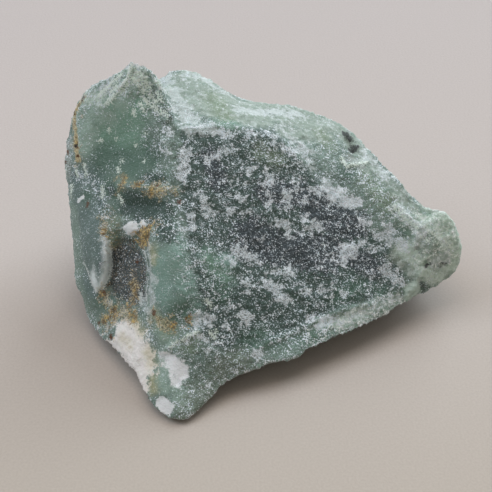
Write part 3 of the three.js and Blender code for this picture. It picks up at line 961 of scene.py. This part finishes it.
# %% Splinters and rims
splinters = marks(
    (2, (131, 66), (128, 75), (124, 83), (118, 91), (112, 98), (106, 104)),
    (1.8, (127, 84), (121, 92)), (1.8, (131, 77), (138, 84), (144, 92)),
    (1.8, (137, 71), (142, 77)), (1.8, (143, 80), (150, 88)), (1.8, (150, 94), (156, 101)),
    (1.8, (144, 98), (149, 104)), (1.8, (157, 92), (161, 99)), (1.8, (153, 106), (160, 111)),
    (1.8, (162, 112), (167, 116)), (1.8, (140, 104), (144, 110)), (1.8, (121, 74), (115, 80)),
    (1.8, (112, 82), (107, 88)), (1.8, (116, 86), (110, 92)), (1.8, (104, 90), (99, 95)),
    (2, (66, 170), (66, 178)), (2, (71, 186), (71, 194)), (1.8, (84, 164), (86, 175)),
    (2, (102, 188), (103, 196)), (1.8, (119, 196), (122, 202)), (1.8, (76, 168), (78, 176)),
    (1.6, (117, 139)), (1.6, (136, 145)), (1.6, (144, 161)), (1.6, (122, 161)), (1.6, (109, 130)),
    (1.6, (118, 168), (119, 171)), (1.6, (146, 133)), (1.6, (101, 140)), (2, (134, 110), (134, 114)),
    (1.4, (170, 348), (176, 342), (183, 340), (190, 334), (197, 332)),
    (1.8, (206, 300), (211, 306)), (1.8, (210, 332), (214, 338), (216, 332)),
    (1.8, (342, 158), (347, 166), (366, 162)),
    (2, (394, 206), (404, 216), (416, 228)), (1.8, (430, 232), (442, 238)),
    (1.5, (424, 226), (430, 231)), (1.5, (436, 228), (440, 233)), (1.5, (421, 236), (428, 241)),
    (1.5, (434, 242), (441, 246)), (1.5, (446, 240), (450, 246)), (1.5, (416, 214), (424, 220)),
)
# Thin white lines along the edges of the flake, the recess and the crown: partly whitened broken edges,
# partly a painted highlight where the light catches the flake's thin edge.
rims = marks(
    (2.3, (107, 241), (110, 252), (111, 262), (110, 270), (107, 279), (103, 286), (96, 291)),
    (1.8, (84, 263), (88, 272), (92, 283), (96, 290)),
    (1.8, (143, 248), (147, 262), (147, 298)),
    (2, (160, 88), (170, 104), (174, 113)),
    (2.4, (141, 294), (141, 302)),
)
print("splintered:", int((splinters > 0).sum()), "points")

# %% White chips, and painted light where light shines through the flake's thin edge
RIM_CRISPNESS = 8
RIM_WIDTH = 1.4
SCAR_CRISPNESS = 2

white = np.max(
    [
        outlined(*chip_outline),
        outlined(*small_chip_outline),
        outlined(*low_scar_outline),
        marks((2.6, (79, 201), (83, 197))),
    ],
    axis=0,
)
flake = outlined(*flake_outline)
# Painted light: a bright band just inside the flake's thin edge, on its lit side, where light shines
# through.
lit_side = marks((14, (106, 250), (107, 268), (98, 287)))
painted_glow = np.min([RIM_CRISPNESS * flake, RIM_WIDTH - flake, lit_side], axis=0)
gravel = np.minimum(outlined(*gravel_outline), -flake)
lobe = outlined(*lobe_outline)
scar_side = marks((13, (172, 354), (183, 362), (189, 372), (182, 385)))
scar = np.minimum(SCAR_CRISPNESS * outlined(*scar_outline), scar_side)
print("white chips:", int((white > 0).sum()), "points, glowing rim:", int((painted_glow > 0).sum()))

# %% [markdown]
# ## Stains of iron, the chalky crust and the dark inclusion
#
# Water left iron in the cracks and the nook: thin yellow-brown stains, ochre grains and rust
# spots. A chalky crust lies below the recess, and a black mineral fills a pit on the top slope.
# All of them could be one brown noise, but each keeps to its own crack or hollow, so each has
# its own strokes. They lie over the stone's own colours, and get masks of their own.

# %% Stains and the crack they follow
stain = marks(
    (3, (77, 96), (74, 120), (75, 148), (78, 158)),
    (4.5, (123, 178), (120, 188)), (5, (138, 185)), (6, (152, 189), (162, 191)), (4, (174, 189)),
    (7, (150, 228), (142, 240)), (5, (103, 222), (108, 240), (114, 246)),
    (5, (134, 280), (135, 296), (128, 307)), (6, (103, 290), (106, 302)),
    (7, (104, 322), (116, 312), (132, 314)), (6, (154, 316), (172, 327)), (4, (189, 321)),
)
crack = marks((3.5, (77, 98), (74, 112), (75, 128), (76, 146), (78, 158)))
yellow = marks(
    (6, (149, 352), (152, 362)), (5, (134, 321), (141, 333)), (3, (122, 338), (130, 346)),
    (5, (152, 380), (153, 390)), (4, (152, 250), (153, 262)), (3, (150, 320), (158, 314)),
)
print("stained:", int((stain > 0).sum()), "points")

# %% Ochre grains, with two iron seams on the hidden sides
CRUMB_OVERLAP = 0.3

ochre = marks(
    (0.9, (75, 104), (74, 114)), (0.8, (75, 128), (76, 132)), (1, (76, 140), (78, 156)),
    (1, (125, 178), (120, 186)), (3.5, (138, 185)), (2, (152, 189)), (2, (161, 191)),
    (1.5, (104, 230), (106, 238)),
    (0.6, (132, 278), (134, 287), (136, 296)), (3, (128, 306), (134, 304)), (2.5, (102, 291), (103, 297)),
    (3.5, (104, 322), (115, 313)), (4, (131, 312), (134, 320)), (3, (154, 315)), (3, (173, 327)),
    (3, (188, 318), (189, 325)), (3, (111, 337)),
)
ochre = np.maximum(ochre, outlined(*crumb_outline) + CRUMB_OVERLAP)
long_seam = stroke(0.6, behind(200, 16), behind(222, 22), behind(240, 20))
short_seam = stroke(0.5, behind(30, 30), behind(48, 24), behind(60, 26))
ochre = also(ochre, np.maximum(long_seam, short_seam))
print("ochre:", int((ochre > 0).sum()), "points")

# %% Rust spots, crust and inclusion
rust = marks(
    (2.6, (68, 152)), (1.8, (66, 162)), (1.8, (75, 102)), (2, (74, 114)), (1.6, (76, 146)),
    (1.8, (82, 100)), (1.6, (75, 124)), (1.8, (78, 156)), (2.2, (179, 202)), (3, (154, 313)),
    (3, (111, 337)), (2, (99, 323)),
    (1.8, (137, 262)), (1.8, (88, 203), (87, 206)), (1.8, (104, 292)), (1.6, (157, 186)),
)
cream = np.maximum(
    outlined(
        (117, 322), (126, 320), (136, 323), (141, 330), (147, 342), (154, 353), (156, 366), (150, 380),
        (147, 394), (142, 391), (136, 377), (129, 367), (122, 357), (112, 351), (102, 342), (106, 338),
        (113, 339), (117, 332),
    ),
    marks((3.5, (106, 342), (120, 355), (134, 373), (143, 390))),
)
black = marks(
    (6, (353, 150)), (4, (347, 134), (350, 142)), (0.8, (428, 264)), (1, (442, 265)),
    (1, (74, 112)), (1, (82, 100)), (0.9, (76, 147)),
)
print("crust:", int((cream > 0).sum()), "points, inclusion:", int((black > 0).sum()))

# %% Store the masks on the stone
masks = dict(
    crushed=crushed, worn=worn, moss=moss, slate=slate, clear=clear, pale=pale, teal=teal,
    glaze=glaze, nook=nook, toe=toe_tip, olive=olive, deep_green_and_shade=deep_green_and_shade, grey=grey, mint=mint, pale_rim_and_painted_light=pale_rim_and_painted_light,
    dark_in_pits=dark_in_pits, frost=frost, sugar=sugar, bare=bare, bruise=bruise, smears=smears,
    splinters=splinters, rims=rims, painted_glow=painted_glow, gravel=gravel, lobe=lobe, scar=scar, white=white,
    stain=stain, crack=crack, yellow=yellow, ochre=ochre, rust=rust, cream=cream, black=black,
)
for name, values in masks.items():
    layer = stone.data.attributes.new(name, "FLOAT", "POINT")
    layer.data.foreach_set("value", np.clip(values, -MASK_LIMIT, MASK_LIMIT).astype(np.float32))
print("masks:", ", ".join(masks))

# %% [markdown]
# ## Node groups
#
# Four effects repeat all over the stone: noise at several sizes, a mask whose edge that noise
# has made ragged, the white dust of crushed quartz, and single bright specks. Copying their
# nodes to each place would make a tree that nobody can read. Each is built once as a node
# group with named sockets.

# %% Sums and groups
def maths(tree, operation, one, other=0.0, clamp=False):
    """The result of a Math node."""
    return node(tree, "Math", {0: one, 1: other}, operation=operation, use_clamp=clamp).outputs[0]


def sum_of(tree, *terms):
    """Adds sockets, each given with the number it is multiplied by."""
    total = 0.0
    for term, factor in terms:
        step = node(tree, "Math", {0: term, 1: factor, 2: total}, operation="MULTIPLY_ADD")
        total = step.outputs[0]
    return total


def new_group(name, inputs, outputs):
    """An empty node group with number sockets, and vectors where the name says Place."""
    group = bpy.data.node_groups.new(name, "ShaderNodeTree")
    for label in inputs:
        kind = "NodeSocketVector" if label == "Place" else "NodeSocketFloat"
        group.interface.new_socket(label, in_out="INPUT", socket_type=kind)
    for label in outputs:
        group.interface.new_socket(label, in_out="OUTPUT", socket_type="NodeSocketFloat")
    return group, group.nodes.new("NodeGroupInput"), group.nodes.new("NodeGroupOutput")


def placed(tree, group, inputs):
    """The group, set in a tree with these inputs."""
    made = tree.nodes.new("ShaderNodeGroup")
    made.node_tree = group
    for key, value in inputs.items():
        feed(tree, made.inputs[key], value)
    return made.outputs


# %% Noise at several sizes, each from about -2 to 2 with 0 in the middle
def grain_noise(tree, place, size, detail=0, roughness=0.5, swing=0.13):
    """Noise with grains of this size in mm. Its swing is how far it strays from 0.5."""
    sockets = {"Vector": place, "Scale": 1 / (size * MM), "Detail": detail, "Roughness": roughness}
    raw = node(tree, "TexNoise", sockets).outputs["Fac"]
    return sum_of(tree, (raw, 1 / swing), (0.5, -1 / swing))


breakage, entry, exit_ = new_group("breakage", ["Place"], ["Broad", "Ragged", "Small", "Fine"])
place = entry.outputs["Place"]
feed(breakage, exit_.inputs["Broad"], grain_noise(breakage, place, 7, 3, 0.6, 0.08))
feed(breakage, exit_.inputs["Ragged"], grain_noise(breakage, place, 2.0, 4, 0.8, 0.065))
feed(breakage, exit_.inputs["Small"], grain_noise(breakage, place, 0.9, 1, 0.5, 0.11))
feed(breakage, exit_.inputs["Fine"], grain_noise(breakage, place, 0.32, 1, 0.5, 0.11))
print("group:", breakage.name)

# %% A mask with a ragged edge
ragged, entry, exit_ = new_group("ragged mask", ["Mask", "Noise", "Reach", "Edge"], ["Mask"])
shifted = maths(ragged, "MULTIPLY", entry.outputs["Noise"], entry.outputs["Reach"])
swing = maths(ragged, "ADD", entry.outputs["Mask"], shifted)
below = maths(ragged, "MULTIPLY", entry.outputs["Edge"], -1.0)
feed(ragged, exit_.inputs["Mask"], ramp(ragged, swing, below, entry.outputs["Edge"]))
print("group:", ragged.name)

# %% The white of crushed quartz: three sizes of grain, clumps, and the curled edges of flakes
# The parts are summed, and e is raised to the sum, so in the end they multiply.
white_dust, entry, exit_ = new_group("white dust", ["Place", "Level", "Spread"], ["White", "Shade"])
place = entry.outputs["Place"]
fine = grain_noise(white_dust, place, 0.26)
grit = grain_noise(white_dust, place, 0.42)
small = grain_noise(white_dust, place, 1.0, 1, 0.5, 0.11)
clumps = grain_noise(white_dust, place, 3.2, 1, 0.6, 0.11)
curl = grain_noise(white_dust, place, 1.2)
curl_here = ramp(white_dust, grain_noise(white_dust, place, 2.1), 0.5, 1.2)
curl_line = ramp(white_dust, maths(white_dust, "ABSOLUTE", curl), 0.3, 0.05)
curls = maths(white_dust, "MULTIPLY", curl_line, curl_here)
lumps = sum_of(white_dust, (grit, 0.45), (small, 0.6), (clumps, 0.45), (curls, 1.2))
lumps = maths(white_dust, "MULTIPLY", lumps, entry.outputs["Spread"])
power = sum_of(white_dust, (fine, 1.6), (lumps, 1.0), (entry.outputs["Level"], 1.0))
feed(white_dust, exit_.inputs["White"], maths(white_dust, "EXPONENT", power, clamp=True))
feed(white_dust, exit_.inputs["Shade"], ramp(white_dust, small, -1.0, 1.5, "LINEAR"))
print("group:", white_dust.name)

# %% Single bright specks: one dot in some of the cells of a Voronoi texture
SPECK_REACH = 0.26
SPECK_VARIETY = 0.16
SPECK_EDGE = 0.1

specks, entry, exit_ = new_group("specks", ["Place", "Size", "Share"], ["Specks"])
scale = maths(specks, "DIVIDE", 1 / MM, entry.outputs["Size"])
cells = node(specks, "TexVoronoi", {"Vector": entry.outputs["Place"], "Scale": scale})
parts = node(specks, "SeparateColor", {"Color": cells.outputs["Color"]})
reach = sum_of(specks, (parts.outputs[1], SPECK_VARIETY), (SPECK_REACH, 1.0))
inner = maths(specks, "SUBTRACT", reach, SPECK_EDGE)
dot = ramp(specks, cells.outputs["Distance"], reach, inner)
there = maths(specks, "LESS_THAN", parts.outputs[0], entry.outputs["Share"])
feed(specks, exit_.inputs["Specks"], maths(specks, "MULTIPLY", dot, there))
print("group:", specks.name)

# %% [markdown]
# ## The finish of the stone
#
# One green with noise in it would look like plastic. Real aventurine is many greens, so the
# material starts from one soft green and lays the others over it, each through its own ragged
# mask: the dark slate body, the clear green of the hollow, the mint and frost on top. Painted
# light and shade go on the same way: paler tones where light shines through the flake's thin
# edge, the nose and the peak, and darker greens as painted shade in the nook and under the hem.

# %% Start the material
finish = bpy.data.materials.new("aventurine")
finish.use_nodes = True
tree = finish.node_tree
shader = tree.nodes["Principled BSDF"]
stone.data.materials.clear()
stone.data.materials.append(finish)

place = node(tree, "TexCoord").outputs["Object"]
noises = placed(tree, breakage, {"Place": place})


def stored(name):
    """A mask as the stone holds it."""
    return node(tree, "Attribute", attribute_name=name).outputs["Fac"]


def mask(name, size, reach, edge):
    """A stored mask. The noise of this size moves its edge by about the reach in mm, and the
    edge fades over this many mm to each side."""
    sockets = {"Mask": stored(name), "Noise": noises[size], "Reach": reach, "Edge": edge}
    return placed(tree, ragged, sockets)["Mask"]


def both(one, other):
    """The share where both are: one times the other."""
    return maths(tree, "MULTIPLY", one, other)


def tint(colour, share, strength, tone):
    """Lays a tone over the colour by this share, at this strength."""
    return mix(tree, both(share, strength), colour, linear(*tone))


def lay(colour, layers):
    """Lays tones over the colour. Each row is a mask's name, size, reach and edge, then the
    strength and the tone."""
    for name, size, reach, edge, strength, tone in layers:
        colour = tint(colour, mask(name, size, reach, edge), strength, tone)
    return colour


print("noises:", ", ".join(noises.keys()))

# %% Lay the body colours
DARKER_GREEN = linear(106, 127, 117)
LIGHTER_GREEN = linear(124, 146, 135)

colour = mix(tree, ramp(tree, noises["Broad"], -1.2, 1.2), DARKER_GREEN, LIGHTER_GREEN)
colour = lay(colour, (
    ("moss", "Ragged", 0.4, 0.7, 1.0, (66, 88, 80)),
    ("clear", "Ragged", 0.25, 2.4, 0.95, (124, 161, 142)),
    ("teal", "Ragged", 0.25, 1.2, 0.9, (97, 119, 115)),
    ("glaze", "Ragged", 0.3, 1.6, 0.9, (130, 163, 152)),
    ("pale", "Ragged", 0.3, 1.4, 0.9, (152, 177, 164)),
    ("slate", "Ragged", 0.6, 1.0, 0.9, (54, 64, 70)),
    ("grey", "Ragged", 0.4, 0.7, 0.85, (156, 166, 160)),
    ("mint", "Ragged", 0.4, 1.2, 0.95, (150, 166, 155)),
    ("olive", "Ragged", 0.4, 1.4, 0.6, (122, 141, 114)),
    # Paler rims, and painted light that brightens the nose and the peak.
    ("pale_rim_and_painted_light", "Ragged", 0.4, 1.0, 0.95, (200, 218, 206)),
    # Dark green: partly the stone's own colour, partly painted shade under the lip and the hem.
    ("deep_green_and_shade", "Ragged", 0.25, 2.0, 0.9, (77, 108, 92)),
    # Painted shade in the hollow under the lip.
    ("nook", "Ragged", 0.25, 1.0, 0.95, (46, 72, 62)),
    ("toe", "Ragged", 0.3, 2.0, 0.6, (122, 132, 116)),
    # Darker in the nose's pits and the lobe's crack.
    ("dark_in_pits", "Ragged", 0.5, 0.6, 0.7, (88, 96, 92)),
    # Frost, with painted light at the peak and on the nose.
    ("frost", "Ragged", 0.7, 0.8, 0.85, (194, 205, 204)),
    # Painted light: the flake's thin edge made bright where light shines through it.
    ("painted_glow", "Ragged", 0.15, 0.8, 0.95, (224, 234, 234)),
))
print("nodes so far:", len(tree.nodes))

# %% [markdown]
# ## Frost and sugary grain
#
# The top is frosted in clouds. The nose, the crest and the hem are sugary: bright points stand
# between small green hollows. A Voronoi texture would make the points too regular, so two
# sizes of noise are multiplied, and only where both are high is there a point.

# %% Lay the frost and the sugar
FROST = (204, 215, 213)
HOLLOW = (112, 146, 124)
FLECK = (238, 247, 242)

minted = mask("mint", "Ragged", 0.5, 1.0)
frosting = both(ramp(tree, noises["Ragged"], 0.0, 1.6), minted)
colour = tint(colour, frosting, 0.45, FROST)
sugary = mask("sugar", "Ragged", 0.5, 0.8)
hollows = both(sugary, ramp(tree, noises["Small"], -0.1, -1.1))
colour = tint(colour, hollows, 0.4, HOLLOW)
flecks = both(sugary, ramp(tree, noises["Small"], 0.1, 0.8))
flecks = both(flecks, ramp(tree, noises["Fine"], -0.2, 0.6))
colour = tint(colour, flecks, 0.95, FLECK)
print("nodes so far:", len(tree.nodes))

# %% [markdown]
# ## Crushed quartz
#
# Small dark pits come first, then white dust: thick in the bruises, thin where the break is
# smooth, and nearly none in the bare patches and on the mint. The parts of the dust multiply
# rather than add, because on crushed quartz most grains stay dark and a few are nearly white.
# Single bright specks, the mica and clean quartz that catch the light, come last.

# %% Pits and bruises
PIT = (42, 50, 50)
BRUISE = (218, 226, 229)

crush = stored("crushed")
pitted = sum_of(tree, (crush, 1.0), (minted, -0.7))
pits = both(ramp(tree, noises["Fine"], -0.7, -1.8), pitted)
colour = tint(colour, pits, 0.5, PIT)
bruised = mask("bruise", "Ragged", 0.6, 0.35)
gaps = ramp(tree, noises["Fine"], -0.9, 0.6)
crumbly = both(bruised, sum_of(tree, (gaps, 0.75), (0.2, 1.0)))
colour = mix(tree, crumbly, colour, linear(*BRUISE))
print("nodes so far:", len(tree.nodes))

# %% White dust
DUST_IN_SHADE = linear(198, 213, 220)
DUST_IN_LIGHT = linear(236, 245, 252)
PLAIN_LEVEL = -4.15
PLAIN_SPREAD = 0.5

smeared = mask("smears", "Ragged", 0.6, 0.6)
edges = ramp(tree, stored("worn"), 0.05, 0.4)
gritty = mask("gravel", "Ragged", 0.3, 0.3)
bare = mask("bare", "Ragged", 0.5, 0.8)
level = sum_of(
    tree,
    (crush, 1.2),
    (bruised, 1.3),
    (smeared, 1.1),
    (minted, -1.7),
    (bare, -1.3),
    (gritty, -0.6),
    (edges, 0.6),
    (noises["Broad"], 0.15),
    (1.0, PLAIN_LEVEL),
)
spread = sum_of(tree, (crush, 0.6), (bruised, -0.4), (1.0, PLAIN_SPREAD))
dust = placed(tree, white_dust, {"Place": place, "Level": level, "Spread": spread})
dust_tone = mix(tree, dust["Shade"], DUST_IN_SHADE, DUST_IN_LIGHT)
colour = mix(tree, dust["White"], colour, dust_tone)
print("nodes so far:", len(tree.nodes))

# %% Bright specks
SPECK = (226, 240, 243)
SPECK_SIZE = 0.45

share = sum_of(
    tree,
    (crush, 0.18),
    (noises["Ragged"], 0.08),
    (minted, -0.22),
    (gritty, -0.1),
    (bare, -0.1),
)
dots = placed(tree, specks, {"Place": place, "Size": SPECK_SIZE, "Share": share})
colour = tint(colour, dots["Specks"], 0.9, SPECK)
print("nodes so far:", len(tree.nodes))

# %% [markdown]
# ## Splinters, chips, crust and stains
#
# These lie over the dust, so they come after it. The gravel beside the flake is tanned in its
# grains only. A stain on real quartz isn't an even wash: it is chalky where grains stand up
# and brown in the gaps between them, so it takes both from the fine noise.

# %% Lay the marks
TAN = (150, 136, 112)

tanned = both(gritty, ramp(tree, noises["Fine"], 0.0, 1.2))
colour = tint(colour, tanned, 0.45, TAN)
colour = lay(colour, (
    ("splinters", "Fine", 0.28, 0.2, 0.95, (218, 231, 222)),
    # The rims are partly a painted highlight along the flake's edge.
    ("rims", "Fine", 0.2, 0.2, 0.85, (218, 227, 226)),
    ("white", "Ragged", 0.15, 0.12, 0.95, (230, 235, 236)),
    ("scar", "Ragged", 0.45, 0.7, 0.95, (240, 244, 246)),
    ("lobe", "Ragged", 0.15, 0.15, 0.8, (176, 193, 182)),
    ("cream", "Ragged", 0.45, 0.5, 0.97, (248, 247, 243)),
    ("yellow", "Ragged", 0.3, 1.4, 0.45, (206, 196, 150)),
    ("crack", "Ragged", 0.3, 0.4, 0.75, (224, 209, 166)),
    ("stain", "Ragged", 0.7, 0.8, 0.4, (160, 143, 100)),
))
print("nodes so far:", len(tree.nodes))

# %% Lay the stains, the ochre grains and the spots
CHALK = (216, 203, 166)
BROWN = (84, 64, 42)
DARK_OCHRE = linear(104, 84, 50)
LIGHT_OCHRE = linear(206, 178, 112)

stained = mask("stain", "Ragged", 0.7, 0.5)
chalky = both(stained, ramp(tree, noises["Fine"], 0.2, 1.0))
colour = tint(colour, chalky, 0.7, CHALK)
browned = both(stained, ramp(tree, noises["Fine"], -0.6, -1.4))
colour = tint(colour, browned, 0.6, BROWN)
rusty = mix(tree, ramp(tree, noises["Small"], -1.0, 1.4), DARK_OCHRE, LIGHT_OCHRE)
grains = both(mask("ochre", "Ragged", 0.5, 0.15), ramp(tree, noises["Fine"], -0.9, -0.1))
colour = mix(tree, both(grains, 0.9), colour, rusty)
colour = lay(colour, (
    ("rust", "Fine", 0.15, 0.2, 0.9, (98, 60, 34)),
    ("black", "Ragged", 0.5, 0.5, 0.9, (40, 45, 45)),
))
print("nodes in the material:", len(tree.nodes))

# %% [markdown]
# ## Gloss, bump and the light inside the stone
#
# Cleanly broken quartz is a little glossy and crushed quartz is dull, so the roughness follows
# the crushed mask. Dust and noise give a bump finer than the mesh can hold. Light also enters
# the stone and comes out nearby. Real glass-like transmission would be slow and would show the
# stone empty inside. Subsurface scattering over 2.5 mm softens the shade enough.

# %% Gloss and fine bump
SMOOTH_ROUGHNESS = 0.5
BUMP_STRENGTH = 0.7
BUMP_HEIGHT = 0.25 * MM
INSIDE_SHARE = 0.5
INSIDE_REACH = 2.5 * MM
INSIDE_TONE = (0.9, 1.0, 0.95)

feed(tree, shader.inputs["Base Color"], colour)
gloss = sum_of(tree, (crush, 0.26), (noises["Fine"], 0.03), (SMOOTH_ROUGHNESS, 1.0))
feed(tree, shader.inputs["Roughness"], gloss)
shader.inputs["Subsurface Weight"].default_value = INSIDE_SHARE
shader.inputs["Subsurface Radius"].default_value = INSIDE_TONE
shader.inputs["Subsurface Scale"].default_value = INSIDE_REACH
height = sum_of(tree, (dust["White"], 0.5), (noises["Fine"], 0.1), (noises["Small"], 0.12))
sockets = {"Height": height, "Strength": BUMP_STRENGTH, "Distance": BUMP_HEIGHT}
feed(tree, shader.inputs["Normal"], node(tree, "Bump", sockets).outputs["Normal"])
only(stone)
bpy.ops.object.shade_smooth()
print("light reaches about", round(INSIDE_REACH / MM, 1), "mm into the stone")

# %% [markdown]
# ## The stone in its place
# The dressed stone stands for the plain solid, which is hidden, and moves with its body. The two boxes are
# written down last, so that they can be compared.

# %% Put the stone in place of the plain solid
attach(stone, "root")
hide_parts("stone")
print("in place:", stone.name)
